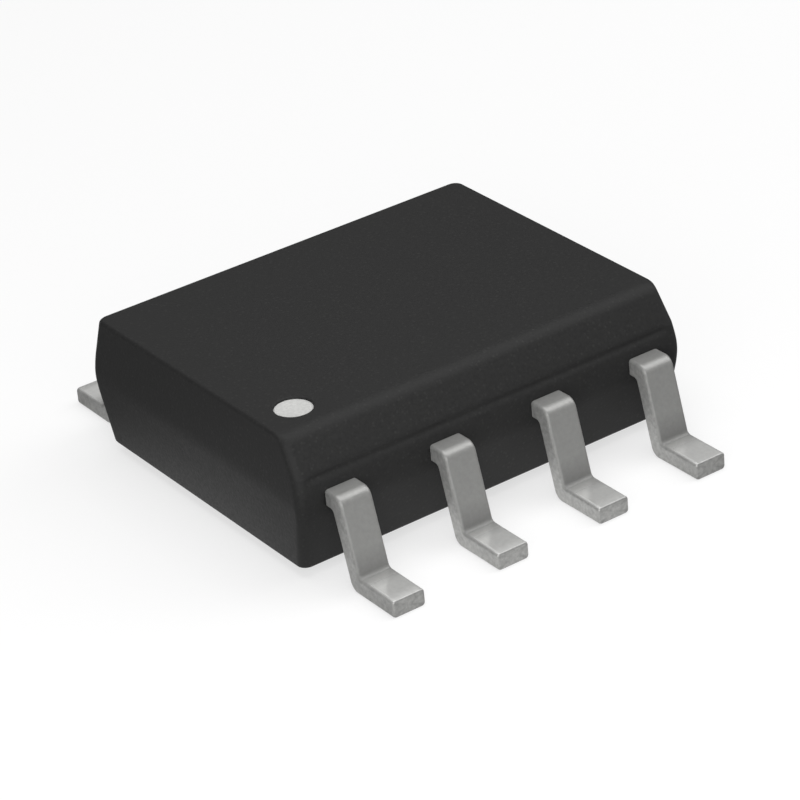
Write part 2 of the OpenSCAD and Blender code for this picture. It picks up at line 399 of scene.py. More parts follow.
def moulded_epoxy_compound():
    """Black epoxy moulding compound, pressed against a spark-eroded steel mould.

    The mould's fine pits give the eye a satin surface with a tight, even grain, and the glass filler under
    the skin makes a faint lighter speckle, which the flow of the compound spreads unevenly. Pits and filler
    are about 0.02 mm and are drawn at 0.035 and 0.06 mm, so that they show.
    """
    settings = chip("body")
    material, tree, where = new_material("moulded epoxy compound")
    pits = add(
        tree, "ShaderNodeTexNoise", {"Scale": per(0.035), "Detail": 3.0, "Roughness": 0.6}, {"Vector": where}
    )
    flow = add(
        tree, "ShaderNodeTexNoise", {"Scale": per(0.5), "Detail": 3.0, "Roughness": 0.55}, {"Vector": where}
    )
    grains = add(tree, "ShaderNodeTexVoronoi", {"Scale": per(0.06)}, {"Vector": where})
    speckle = add(
        tree,
        "ShaderNodeMapRange",
        {"From Min": 0.12, "From Max": 0.3, "To Min": 0.5, "To Max": 0.0},
        {"Value": grains.outputs["Distance"]},
    )
    tone = add(
        tree,
        "ShaderNodeMapRange",
        {**NOISE_SPAN, "To Min": 0.0, "To Max": 0.22},
        {"Value": pits.outputs["Fac"]},
    )
    share = add(
        tree,
        "ShaderNodeMath",
        {"operation": "MULTIPLY_ADD"},
        {0: speckle.outputs[0], 1: flow.outputs["Fac"], 2: tone.outputs[0]},
    )
    base = add(
        tree,
        "ShaderNodeMix",
        {"data_type": "RGBA", 6: opaque(settings.compound), 7: opaque(settings.filler)},
        {0: share.outputs[0]},
    )
    roughness = add(
        tree,
        "ShaderNodeMapRange",
        {**NOISE_SPAN, "To Min": 0.48, "To Max": 0.6},
        {"Value": pits.outputs["Fac"]},
    )
    relief = add(
        tree, "ShaderNodeBump", {"Strength": 0.6, "Distance": 0.003 * MM}, {"Height": pits.outputs["Fac"]}
    )
    skin = add(
        tree,
        "ShaderNodeBsdfPrincipled",
        {"IOR": 1.55, "Specular IOR Level": 0.14},
        {"Base Color": base.outputs[2], "Roughness": roughness.outputs[0], "Normal": relief.outputs[0]},
    )
    add(tree, "ShaderNodeOutputMaterial", links={"Surface": skin.outputs[0]})
    return material


# Share of the mottle that shows on flat tin, and what a sheared face adds to it
FLAT_MOTTLE, TORN_MOTTLE = 0.25, 0.7
# How much darker the painted shade makes dulled tin, and what dulling adds to the roughness
PAINTED_SHADE_DEPTH, DULL_ROUGHNESS = 0.4, 0.3
# What a sheared face adds to the roughness, and the even roughness of a pressed face
TORN_ROUGHNESS, PRESSED_ROUGHNESS = 0.15, 0.18
# How steeply tin turns smooth, by how far its pressed mark is above its sheared mark
PRESSED_GAIN = 5.0


def matte_tin_plate(name, tin, lit_foot_tin, sheared_tin):
    """Matte tin plated on copper alloy sheet after it was stamped, then bent in a forming tool.

    Fine tin crystals vary the roughness, so the eye sees a soft, pale grey metal that mirrors only what
    nearly touches it. The sheared sides are rougher and mottled where the punch tore the sheet. The top of
    the foot, which the tool pressed flat, is evenly smooth, and its paler colour is painted light on the
    foot. Next to the body, along its fold and along its rounded edges, the tin is duller, and its darker
    colour there is painted shade. Crystals are about 0.005 mm and are drawn at 0.02 mm, so that they show.
    Their roughness stays above 0.28 and the pressed one is even, because the render's noise filter takes
    metal below about 0.27 for a mirror, and leaves specks where a pattern crosses that value.
    """
    material, tree, where = new_material(name)
    sheared, pressed_and_lit, dulled_and_shaded = (
        add(tree, "ShaderNodeAttribute", {"attribute_name": mark}).outputs["Fac"] for mark in MARKS
    )
    crystals = add(
        tree,
        "ShaderNodeTexNoise",
        {"Scale": per(0.022), "Detail": 3.0, "Roughness": 0.55},
        {"Vector": where},
    )
    mottle = add(
        tree, "ShaderNodeTexNoise", {"Scale": per(0.045), "Detail": 3.0, "Roughness": 0.6}, {"Vector": where}
    )
    contrast = add(
        tree, "ShaderNodeMath", {"operation": "MULTIPLY_ADD", 1: TORN_MOTTLE, 2: FLAT_MOTTLE}, {0: sheared}
    )
    centred = add(tree, "ShaderNodeMath", {"operation": "SUBTRACT", 1: 0.5}, {0: mottle.outputs["Fac"]})
    tone = add(
        tree,
        "ShaderNodeMath",
        {"operation": "MULTIPLY_ADD", 2: 1.0},
        {0: centred.outputs[0], 1: contrast.outputs[0]},
    )
    # Painted shade: dulled tin, next to the body, in the fold and along the rounded edges, is drawn darker
    painted_shade = add(tree, "ShaderNodeMath", {"operation": "MULTIPLY_ADD", 1: -PAINTED_SHADE_DEPTH, 2: 1.0}, {0: dulled_and_shaded})
    shown = add(tree, "ShaderNodeMath", {"operation": "MULTIPLY"}, {0: tone.outputs[0], 1: painted_shade.outputs[0]})
    # Painted light: the pressed foot is drawn in the paler tin colour
    with_lit_foot = add(
        tree, "ShaderNodeMix", {"data_type": "RGBA", 6: opaque(tin), 7: opaque(lit_foot_tin)}, {0: pressed_and_lit}
    )
    base = add(
        tree,
        "ShaderNodeMix",
        {"data_type": "RGBA", 7: opaque(sheared_tin)},
        {0: sheared, 6: with_lit_foot.outputs[2]},
    )
    shade = add(
        tree, "ShaderNodeVectorMath", {"operation": "SCALE"}, {0: base.outputs[2], "Scale": shown.outputs[0]}
    )
    smooth = add(
        tree,
        "ShaderNodeMapRange",
        {**NOISE_SPAN, "To Min": 0.29, "To Max": 0.36},
        {"Value": crystals.outputs["Fac"]},
    )
    rough = add(
        tree,
        "ShaderNodeMath",
        {"operation": "MULTIPLY_ADD", 1: TORN_ROUGHNESS},
        {0: sheared, 2: smooth.outputs[0]},
    )
    margin = add(tree, "ShaderNodeMath", {"operation": "SUBTRACT"}, {0: pressed_and_lit, 1: sheared})
    flat = add(
        tree,
        "ShaderNodeMath",
        {"operation": "MULTIPLY", "use_clamp": True, 1: PRESSED_GAIN},
        {0: margin.outputs[0]},
    )
    flattened = add(
        tree,
        "ShaderNodeMix",
        {"data_type": "FLOAT", 3: PRESSED_ROUGHNESS},
        {0: flat.outputs[0], 2: rough.outputs[0]},
    )
    roughness = add(
        tree,
        "ShaderNodeMath",
        {"operation": "MULTIPLY_ADD", 1: DULL_ROUGHNESS},
        {0: dulled_and_shaded, 2: flattened.outputs[0]},
    )
    torn = add(
        tree,
        "ShaderNodeBump",
        {"Distance": 0.004 * MM},
        {"Strength": sheared, "Height": mottle.outputs["Fac"]},
    )
    plate = add(
        tree,
        "ShaderNodeBsdfPrincipled",
        {"Metallic": 0.4},
        {"Base Color": shade.outputs[0], "Roughness": roughness.outputs[0], "Normal": torn.outputs[0]},
    )
    add(tree, "ShaderNodeOutputMaterial", links={"Surface": plate.outputs[0]})
    return material


def marking_paint():
    """Pale marking ink pressed into the dimple and baked.

    It dries matte, with a fine, chalky grain in its tone and its relief. The grain is about 0.01 mm and is
    drawn at 0.03 mm, so that it shows.
    """
    settings = chip("dot")
    material, tree, where = new_material("baked marking paint")
    chalk = add(
        tree, "ShaderNodeTexNoise", {"Scale": per(0.03), "Detail": 4.0, "Roughness": 0.7}, {"Vector": where}
    )
    tone = add(
        tree,
        "ShaderNodeMapRange",
        {**NOISE_SPAN, "To Min": 0.86, "To Max": 1.04},
        {"Value": chalk.outputs["Fac"]},
    )
    base = add(
        tree,
        "ShaderNodeVectorMath",
        {"operation": "SCALE", 0: tuple(settings.paint)},
        {"Scale": tone.outputs[0]},
    )
    relief = add(
        tree, "ShaderNodeBump", {"Strength": 0.5, "Distance": 0.003 * MM}, {"Height": chalk.outputs["Fac"]}
    )
    paint = add(
        tree,
        "ShaderNodeBsdfPrincipled",
        {"Roughness": 0.7, "Specular IOR Level": 0.3},
        {"Base Color": base.outputs[0], "Normal": relief.outputs[0]},
    )
    add(tree, "ShaderNodeOutputMaterial", links={"Surface": paint.outputs[0]})
    return material


def polished_silicon():
    """Silicon ground thin at the back and polished in front.

    A dark, bluish mirror with faint fine lines from the grinding, about 0.01 mm apart.
    """
    material, tree, where = new_material("polished silicon")
    stretch = add(tree, "ShaderNodeMapping", {"Scale": (1.0, 12.0, 1.0)}, {"Vector": where})
    lines = add(
        tree, "ShaderNodeTexNoise", {"Scale": per(0.1), "Detail": 4.0}, {"Vector": stretch.outputs[0]}
    )
    roughness = add(
        tree,
        "ShaderNodeMapRange",
        {**NOISE_SPAN, "To Min": 0.12, "To Max": 0.28},
        {"Value": lines.outputs["Fac"]},
    )
    die = add(
        tree,
        "ShaderNodeBsdfPrincipled",
        {"Base Color": opaque(chip("inside").silicon), "Metallic": 0.8},
        {"Roughness": roughness.outputs[0]},
    )
    add(tree, "ShaderNodeOutputMaterial", links={"Surface": die.outputs[0]})
    return material


def silver_epoxy():
    """Silver-filled epoxy squeezed out under the die and cured.

    Flakes of silver about 0.02 mm across glint in a pale grey paste.
    """
    material, tree, where = new_material("silver-filled epoxy")
    flakes = add(tree, "ShaderNodeTexVoronoi", {"Scale": per(0.02)}, {"Vector": where})
    roughness = add(
        tree, "ShaderNodeMapRange", {"To Min": 0.3, "To Max": 0.7}, {"Value": flakes.outputs["Distance"]}
    )
    relief = add(
        tree,
        "ShaderNodeBump",
        {"Strength": 0.5, "Distance": 0.004 * MM},
        {"Height": flakes.outputs["Distance"]},
    )
    paste = add(
        tree,
        "ShaderNodeBsdfPrincipled",
        {"Base Color": opaque(chip("inside").adhesive), "Metallic": 0.5},
        {"Roughness": roughness.outputs[0], "Normal": relief.outputs[0]},
    )
    add(tree, "ShaderNodeOutputMaterial", links={"Surface": paste.outputs[0]})
    return material


def drawn_gold_wire():
    """Gold wire drawn through a diamond die and bonded with heat.

    A warm, bright metal with a slight satin from the die marks.
    """
    material, tree, where = new_material("drawn gold wire")
    marks = add(tree, "ShaderNodeTexNoise", {"Scale": per(0.02), "Detail": 2.0}, {"Vector": where})
    roughness = add(
        tree, "ShaderNodeMapRange", {"To Min": 0.12, "To Max": 0.34}, {"Value": marks.outputs["Fac"]}
    )
    wire = add(
        tree,
        "ShaderNodeBsdfPrincipled",
        {"Base Color": opaque(chip("inside").gold), "Metallic": 1.0},
        {"Roughness": roughness.outputs[0]},
    )
    add(tree, "ShaderNodeOutputMaterial", links={"Surface": wire.outputs[0]})
    return material


# Steps in the arc at each kind of corner of the body's outlines
ARC_STEPS = {"bottom": 6, "end": 10, "side": 20, "cut": 3, "bevel": 12, "top": 8}
# Radius of the parting line on the bevelled side, as a share of its radius on the other sides
BEVELLED_BOW = 0.8
# Radius of the lower edge of the bevel
CUT_RADIUS = 0.01 * MM


def body_profiles(settings):
    """Half sizes of the body against height: of its ends, of its +Y side and of its -Y side with the bevel.

    Each is the outline of a side view: a bottom corner, the corner where the two drafts would meet, and a
    top corner, all rounded. On the -Y side the bevel adds a corner where it cuts the upper draft, and a
    smaller radius at the parting line leaves room for it.
    """
    low, high = BODY_LOW.z, BODY_HIGH.z
    parting, cut = settings.parting_height, settings.bevel_height
    edge, bow = settings.edge_radius, settings.parting_radius
    face_end, parting_end = settings.face_length / 2, settings.parting_length / 2
    face_side, parting_side = settings.face_width / 2, settings.parting_width / 2
    cut_side = parting_side - (parting_side - face_side) * (cut - parting) / (high - parting)
    ends = [
        ((face_end, low), edge, ARC_STEPS["bottom"]),
        ((parting_end, parting), bow, ARC_STEPS["end"]),
        ((face_end, high), edge, ARC_STEPS["top"]),
    ]
    plain = [
        ((face_side, low), edge, ARC_STEPS["bottom"]),
        ((parting_side, parting), bow, ARC_STEPS["side"]),
        ((face_side, high), edge, ARC_STEPS["top"]),
    ]
    bevelled = [
        ((face_side, low), edge, ARC_STEPS["bottom"]),
        ((parting_side, parting), bow * BEVELLED_BOW, ARC_STEPS["side"]),
        ((cut_side, cut), CUT_RADIUS, ARC_STEPS["cut"]),
        ((settings.bevel_reach, high), settings.bevel_radius, ARC_STEPS["bevel"]),
    ]
    return [rounded((0, low), corners, (0, high))[1:-1] for corners in (ends, plain, bevelled)]


# How many half widths the groove's rings reach on each side of its middle, and how many rings there are
GROOVE_SPAN, GROOVE_RINGS = 2.2, 12
# Share of half the body's length over which the groove fades out before the corners
GROOVE_FADE = 0.045
# Heights of the side rings are rounded to this many decimals of a metre, and rise by more than this
HEIGHT_DECIMALS, LEAST_RISE = 9, 0.0008 * MM


def side_rings(settings, around, outward):
    """Rings up the sides of the body, from the edge of its bottom face to the edge of its top face.

    At each height a ring is a rectangle with rounded corners: the walk round a square, stretched to the half
    sizes of the profiles less the corner radius, plus the outward directions times that radius. The groove
    under the bevel draws the -Y side in by its depth times a bell, which is e to the power of minus the
    square of the distance from its middle over its half width, and fades out before the corners.
    """
    profiles = body_profiles(settings)
    line = settings.bevel_height - settings.groove_drop
    grooved = line + settings.groove_width * np.linspace(-GROOVE_SPAN, GROOVE_SPAN, GROOVE_RINGS)
    heights = np.concatenate([*(profile[:, 1] for profile in profiles), grooved])
    levels = np.unique(heights.round(HEIGHT_DECIMALS))
    levels = levels[np.append(True, np.diff(levels) > LEAST_RISE)]
    levels[-1] = BODY_HIGH.z
    ends, plain, bevelled = (np.interp(levels, profile[:, 1], profile[:, 0]) for profile in profiles)
    radius = settings.corner_radius
    half = np.column_stack([ends, (plain + bevelled) / 2]) - radius
    middle = np.column_stack([np.zeros(len(levels)), (plain - bevelled) / 2])
    flat = middle[:, None] + around * half[:, None] + outward * radius
    bell = np.exp(-(((levels - line) / settings.groove_width) ** 2))
    from_corner = np.clip((1 - np.abs(around[:, 0])) / GROOVE_FADE, 0, 1)
    flat[:, :, 1] += settings.groove_depth * bell[:, None] * np.maximum(-outward[:, 1], 0) * from_corner
    return np.dstack([flat, np.broadcast_to(levels[:, None, None], (*flat.shape[:2], 1))])


# Steps in the fillet of the dimple's rim, and the chamfer at its foot as a share of the rim's radius
RIM_STEPS, FOOT_CHAMFER = 5, 0.1


def dimple_outline(settings):
    """Distances from the dimple's axis, and heights: a place on the top face, the rim's fillet, which is a
    quarter circle, and the wall down to the floor that the paint lies on, with a small chamfer between."""
    hole = (DOT_HIGH.x - DOT_LOW.x) / 2
    rim, floor = settings.rim_radius, DOT_LOW.z
    chamfer = FOOT_CHAMFER * rim
    turn = np.linspace(0, QUARTER_TURN, RIM_STEPS + 1)
    fillet = np.column_stack([hole + rim - rim * np.sin(turn), BODY_HIGH.z - rim + rim * np.cos(turn)])
    wall = [(hole, floor + chamfer), (hole - chamfer, floor), (hole / 2, floor)]
    return np.vstack([(hole + 2 * rim, BODY_HIGH.z), fillet, wall])


# Sizes of the rings on the bottom face, as shares of its outline
BOTTOM_SHARES = (0.5, 0.97, 0.995)
# Distance from the edge of the top face to the first ring on it
TOP_INSET = 0.01 * MM


def body_rings(settings, around, outward):
    """Rings of the body from the middle of its bottom face, up its sides and over its top into the dimple.

    On the bottom face, rings are its outline drawn smaller. Over the top face, each point runs straight from
    the edge towards the dimple's axis, and from the dimple's rim on, rings are circles round that axis.
    """
    sides = side_rings(settings, around, outward)
    bottom = np.array([sides[0] * (share, share, 1) for share in BOTTOM_SHARES])
    axis = np.array([(DOT_LOW.x + DOT_HIGH.x) / 2, (DOT_LOW.y + DOT_HIGH.y) / 2])
    spoke = sides[-1, :, :2] - axis
    reach = np.linalg.norm(spoke, axis=1)[:, None]
    spoke = spoke / reach
    outline = [(reach - TOP_INSET, BODY_HIGH.z), *dimple_outline(settings)]
    top = [np.column_stack([axis + spoke * away, np.full(len(spoke), height)]) for away, height in outline]
    return np.concatenate([bottom, sides, np.array(top)])


# Places along each side of the body, and steps in each of its upright corners
SIDE_PLACES, CORNER_STEPS = 110, 10


def body_mesh(settings):
    """Skin of the moulded body, less the space of everything that the compound is moulded round."""
    around, outward = rounded_square(np.linspace(-1, 1, SIDE_PLACES), CORNER_STEPS)
    skin = closed_skin("skin", body_rings(settings, around, outward))
    inserts = [bpy.data.objects[f"tinned_lead_{pin}"].data.copy() for pin in PINS]
    inserts += [node_copy(node) for node in (*INSIDE, "thermal_pad")]
    return carved(skin, inserts)


# Distance from the middle to where the bent part of a lead starts, just inside the body
BENT_START = 1.75 * MM
# Steps in the arc of each bend
BEND_STEPS = 10
# More places on the straight stretches before the knee, on the riser and on the foot, as shares of each
STRETCH_SHARES = ((0.5, 0.97), (0.03, 0.35, 0.65, 0.97), (0.03, 0.4, 0.7))
# Places along the slanted part of a finger
SLANT_PLACES = 6


def lead_stations(settings):
    """Places along a lead, from the inner end of its finger to the end of its foot, as points in Y and Z on
    the upper and on the lower face of the sheet.

    The upper face turns down at the knee and flat again at the crease. The riser's lower face lies one sheet
    further in, square to the riser, and meets the lower faces of finger and foot at the armpit and the heel.
    """
    top, sheet, end = LEAD_HIGH.z, settings.sheet, LEAD_HIGH.y
    bottom = top - sheet
    knee = np.array([settings.knee_reach, top])
    crease = np.array([settings.crease_reach, sheet])
    riser = unit(crease - knee)
    under = knee + np.array([riser[1], -riser[0]]) * sheet
    lean = riser[0] / riser[1]
    armpit = (under[0] + (bottom - under[1]) * lean, bottom)
    heel = (under[0] - under[1] * lean, 0)
    wide, tight = (settings.outer_radius, BEND_STEPS), (settings.inner_radius, BEND_STEPS)
    upper = rounded((BENT_START, top), [(knee, *wide), (crease, *tight)], (end, sheet))
    lower = rounded((BENT_START, bottom), [(armpit, *tight), (heel, *wide)], (end, 0))
    order = np.arange(len(upper))
    extra = [bend * (BEND_STEPS + 1) + np.array(shares) for bend, shares in enumerate(STRETCH_SHARES)]
    steps = np.unique(np.concatenate([order[1:], *extra]))
    bent = [
        np.column_stack([np.interp(steps, order, line[:, axis]) for axis in (0, 1)])
        for line in (upper, lower)
    ]
    slant = np.linspace(LEAD_LOW.y, settings.ear_inner, SLANT_PLACES)
    stops = np.append(slant, [settings.ear_outer, settings.neck_reach, BENT_START])
    flat = [np.column_stack([stops, np.full(len(stops), height)]) for height in (top, bottom)]
    return [np.vstack(pair) for pair in zip(flat, bent)]


# Distances past the crease in millimetres, and how far the fold dulls the tin and darkens it with painted
# shade at each
FOLD_SHADE_AND_DULLING = ((-0.075, 0, 0.02, 0.1), (0, 1, 1, 0))
# Distances past the crease in millimetres, and at each how far the forming tool pressed the foot smooth and
# how far its colour is painted paler with light
PRESS_AND_LIGHT = ((0, 0.11, 0.5), (0, 0.88, 1))
# Share of the tip radius by which the rings on the sheared end of a lead have drawn in
SHEARED_DRAW = 0.3
# How far the rounded edges are dulled, and darkened with painted shade
EDGE_SHADE_AND_DULLING = 0.9


def lead_marks(settings, upper_reach, reach, drawn, outward):
    """How far each point of a lead's rings is sheared, pressed and dulled.

    Sheared is the cube of how far a point faces sideways, and one on both ends. Pressed rises along the
    foot, which is pressed smooth and painted paler with light. Dulled is the largest of four, and paints
    shade as well as dulling: the fold, times how far a point faces up; the shade next to the body, which
    thins out along the lead; the long edges, by how far a point faces sideways times how far it faces up or
    down; and the rounding of the ends, times how far a point faces up.
    """
    sideways, upright = np.abs(outward.T)[:, None]
    upwards = np.maximum(outward[None, :, 1], 0)
    past_crease = (upper_reach - settings.crease_reach) / MM
    sheared = np.maximum(sideways**3, (drawn > SHEARED_DRAW)[:, None])
    # Painted light: the foot is drawn paler, along with its smooth pressing
    pressed_and_lit = np.broadcast_to(np.interp(past_crease, *PRESS_AND_LIGHT)[:, None], sheared.shape)
    # Painted shade, with dulling: in the fold, next to the body, along the long edges and round the ends
    fold_shade = np.interp(past_crease, *FOLD_SHADE_AND_DULLING)[:, None] * upwards
    body_shade = np.clip((settings.body_shade_reach - reach) / settings.body_shade_fade, 0, 1)[:, None]
    edges = EDGE_SHADE_AND_DULLING * sideways * upright
    ends = EDGE_SHADE_AND_DULLING * ((drawn > 0) & (drawn < 1))[:, None] * upwards
    dulled_and_shaded = np.maximum(np.maximum(fold_shade, body_shade), np.maximum(edges, ends))
    return np.dstack([sheared, pressed_and_lit, dulled_and_shaded])


# Rings that draw in at each end of a lead
END_RINGS = 4


def lead_rings(settings, pin, around, outward):
    """Rings of a lead, and the marks of each of their points.

    At each station a ring is the walk round a square, stretched across the sheet to the lead's width there
    and through the sheet to its thickness, less the edge radius, plus the outward directions times that
    radius. The width and the middle of the finger run straight from stop to stop. At both ends the rings
    draw in by a quarter circle of the tip radius: across by one less its sine, and along by one less its
    cosine. Where a lead is the mirror image of lead 5, each ring runs the other way, so that faces point
    outwards.
    """
    upper, lower = lead_stations(settings)
    tip, last = settings.tip_radius, len(upper) - 1
    turn = np.linspace(0, QUARTER_TURN, END_RINGS)
    inward, onward, straight = 1 - np.sin(turn), 1 - np.cos(turn), np.zeros(last - 1)
    drawn = np.concatenate([inward, straight, inward[::-1]])
    slide = tip * np.concatenate([onward, straight, -onward[::-1]])
    stations = np.concatenate([np.zeros(END_RINGS, int), np.arange(1, last), np.full(END_RINGS, last)])
    upper, lower = upper[stations], lower[stations]
    reach = (upper[:, 0] + lower[:, 0]) / 2
    foot_x, foot_y, _ = FEET[f"foot_{pin}"]
    finger_x = settings.corner_tip if pin in CORNER_PINS else settings.inner_tip
    stops = (LEAD_LOW.y, settings.ear_inner, settings.ear_outer, settings.neck_reach)
    widths = (settings.finger_width, settings.ear_width, settings.ear_width, settings.width)
    half = np.interp(reach, stops, widths) / 2
    middle_x = np.interp(reach, stops[:2], (finger_x, abs(foot_x)))
    middle = (upper + lower) / 2
    through = (upper - lower) / 2
    thick = np.linalg.norm(through, axis=1)
    through /= thick[:, None]
    radius = settings.edge_radius
    core = radius + tip * drawn
    across = around[None, :, 0] * (half - core)[:, None] + outward[None, :, 0] * radius
    rise = around[None, :, 1] * (thick - core)[:, None] + outward[None, :, 1] * radius
    side_x, side_y = np.sign(foot_x), np.sign(foot_y)
    rings = np.dstack(
        [
            (middle_x[:, None] - across) * side_x,
            (middle[:, :1] + slide[:, None] + rise * through[:, :1]) * side_y,
            middle[:, 1:] + rise * through[:, 1:],
        ]
    )
    marks = lead_marks(settings, upper[:, 0], reach, drawn, outward)
    if side_x * side_y < 0:
        rings, marks = rings[:, ::-1], marks[:, ::-1]
    return rings, marks


# Places along each side of a lead's section, and steps in each of its rounded corners
SECTION_PLACES, SECTION_STEPS = (-1, -0.9, -0.4, 0.4, 0.9, 1), 5
# Each mark in the middle of a lead's inner end, and in the middle of its outer end
END_MARKS = ((1, 1), (0, 1), (0, 0))
# Sides of the cutter for the lock hole, and its span as shares of the height of the sheet's upper face
HOLE_SIDES, HOLE_SPAN = 24, (0.5, 1.5)


def lead_mesh(settings, pin):
    """One lead with its marks, and with its lock hole cut through the ears."""
    around, outward = rounded_square(np.array(SECTION_PLACES), SECTION_STEPS)
    rings, marks = lead_rings(settings, pin, around, outward)
    mesh = closed_skin("lead", rings)
    for mark, values, ends in zip(MARKS, np.moveaxis(marks, 2, 0), END_MARKS):
        layer = mesh.attributes.new(mark, "FLOAT", "POINT")
        layer.data.foreach_set("value", np.append(values.ravel(), ends).astype(np.float32))
    foot_x, foot_y, _ = FEET[f"foot_{pin}"]
    hole_y = np.sign(foot_y) * (settings.ear_inner + settings.ear_outer) / 2
    wall = [(settings.lock_hole / 2, share * LEAD_HIGH.z) for share in HOLE_SPAN]
    return carved(mesh, [turned("hole", foot_x, hole_y, wall, HOLE_SIDES)])


# Underside and edge of the paint, as shares of its radius and of its thickness
PAINT_EDGE = ((0.5, 0), (0.97, 0), (1, 0.1), (1, 0.85))
# Rings on top of the paint, as shares of its radius
PAINT_TOP = np.linspace(0.98, 0.1, 12)
# Sides of the paint's outline
PAINT_SIDES = 96


def dot_mesh(settings):
    """Disc of paint turned round the dimple's axis: a flat underside, a softened edge, and a top that stands
    higher at the edge than in the middle by the square of the distance from the middle."""
    middle = (DOT_LOW + DOT_HIGH) / 2
    reach, thick = (DOT_HIGH.x - DOT_LOW.x) / 2, DOT_HIGH.z - DOT_LOW.z
    edge = np.array(PAINT_EDGE) * (reach, thick) + (0, DOT_LOW.z)
    top = np.column_stack([PAINT_TOP * reach, DOT_HIGH.z - settings.meniscus * (1 - PAINT_TOP**2)])
    return turned("dot", middle.x, middle.y, np.vstack([edge, top]), PAINT_SIDES)


class CHIP_OT_leads(bpy.types.Operator):
    """Forms the eight leads"""

    bl_idname = "chip.leads"
    bl_label = "Leads"

    def execute(self, context):
        settings = chip("leads")
        plate = matte_tin_plate(
            "matte tin plate on leads", settings.tin, settings.lit_foot_tin, settings.sheared_tin
        )
        for pin in PINS:
            place(f"tinned_lead_{pin}", lead_mesh(settings, pin), f"lead_{pin}", plate)
        return {"FINISHED"}


class CHIP_OT_pad(bpy.types.Operator):
    """Softens and plates the thermal pad"""

    bl_idname = "chip.pad"
    bl_label = "Thermal pad"

    def execute(self, context):
        settings = chip("pad")
        plate = matte_tin_plate("matte tin plate on pad", settings.tin, settings.tin, settings.tin)
        pad = place("tinned_pad", node_copy("thermal_pad"), "thermal_pad", plate)
        edges = pad.modifiers.new("edges", "BEVEL")
        edges.width = settings.edge_radius
        edges.segments = 3
        edges.limit_method = "ANGLE"
        return {"FINISHED"}


class CHIP_OT_body(bpy.types.Operator):
    """Moulds the body round the leads, the pad, the die and the wires"""

    bl_idname = "chip.body"
    bl_label = "Moulded body"

    def execute(self, context):
        mesh = body_mesh(chip("body"))
        place("moulded_body", mesh, "mould_body", moulded_epoxy_compound())
        return {"FINISHED"}


class CHIP_OT_dot(bpy.types.Operator):
    """Paints the pin 1 dot"""

    bl_idname = "chip.dot"
    bl_label = "Pin 1 dot"

    def execute(self, context):
        place("painted_dot", dot_mesh(chip("dot")), "pin_1_dot", marking_paint())
        return {"FINISHED"}


class CHIP_OT_inside(bpy.types.Operator):
    """Finishes the die, its adhesive and the bond wires"""

    bl_idname = "chip.inside"
    bl_label = "Die and wires"

    def execute(self, context):
        finishes = {"die_attach": silver_epoxy(), "silicon_die": polished_silicon()}
        gold = drawn_gold_wire()
        for node in INSIDE:
            for slot in frame["nodes"][node].material_slots:
                slot.material = finishes.get(node, gold)
        return {"FINISHED"}


def rays_seen(tree):
    """Two outputs: one for mirror images, and one for the camera and for light that passes through."""
    rays = add(tree, "ShaderNodeLightPath").outputs
    seen = add(
        tree,
        "ShaderNodeMath",
        {"operation": "MAXIMUM"},
        {0: rays["Is Camera Ray"], 1: rays["Is Transmission Ray"]},
    )
    return rays["Is Glossy Ray"], seen.outputs[0]


# Half the side of the floor, and how far it lies under the feet, so that no two faces coincide
FLOOR_HALF, FLOOR_DROP = 300 * MM, 0.002 * MM


def studio_floor(settings):
    """Flat square floor just under the feet.

    What the camera sees is the light that reaches it plus a glow, so that it is white and keeps the chip's
    shadow. Mirror images show a pool of light round the chip, which falls off smoothly between two distances
    from the middle.
    """
    mesh = bpy.data.meshes.new("studio_floor")
    signs = ((-1, -1), (1, -1), (1, 1), (-1, 1))
    corners = [(x * FLOOR_HALF, y * FLOOR_HALF, -FLOOR_DROP) for x, y in signs]
    mesh.from_pydata(corners, [], [(0, 1, 2, 3)])
    material, tree, where = new_material("pale studio floor")
    mirrored, seen = rays_seen(tree)
    away = add(tree, "ShaderNodeVectorMath", {"operation": "LENGTH"}, {0: where})
    pool = add(
        tree,
        "ShaderNodeMapRange",
        {
            "interpolation_type": "SMOOTHSTEP",
            "From Min": settings.pool_reach,
            "From Max": settings.pool_end,
            "To Min": settings.pool_glow,
            "To Max": 0.0,
        },
        {"Value": away.outputs["Value"]},
    )
    in_mirrors = add(tree, "ShaderNodeMath", {"operation": "MULTIPLY"}, {0: mirrored, 1: pool.outputs[0]})
    strength = add(
        tree,
        "ShaderNodeMath",
        {"operation": "MULTIPLY_ADD", 1: settings.floor_glow},
        {0: seen, 2: in_mirrors.outputs[0]},
    )
    glow = add(tree, "ShaderNodeEmission", links={"Strength": strength.outputs[0]})
    matte = add(tree, "ShaderNodeBsdfDiffuse", {"Color": opaque(settings.floor)})
    both = add(tree, "ShaderNodeAddShader", links={0: glow.outputs[0], 1: matte.outputs[0]})
    add(tree, "ShaderNodeOutputMaterial", links={"Surface": both.outputs[0]})
    mesh.materials.append(material)
    floor = bpy.data.objects.new("studio_floor", mesh)
    bpy.context.collection.objects.link(floor)


def studio_world(settings):
    """White background, and a soft grey light from all round on everything that doesn't see it."""
    world = bpy.data.worlds.new("studio")
    world.use_nodes = True
    tree = world.node_tree
    tree.nodes.clear()
    seen = rays_seen(tree)[1]
    grey = add(tree, "ShaderNodeBackground", {"Color": opaque(settings.ambient)})
    white = add(tree, "ShaderNodeBackground", {"Color": (1.0, 1.0, 1.0, 1.0)})
    both = add(tree, "ShaderNodeMixShader", links={0: seen, 1: grey.outputs[0], 2: white.outputs[0]})
    add(tree, "ShaderNodeOutputWorld", links={"Surface": both.outputs[0]})
    bpy.context.scene.world = world


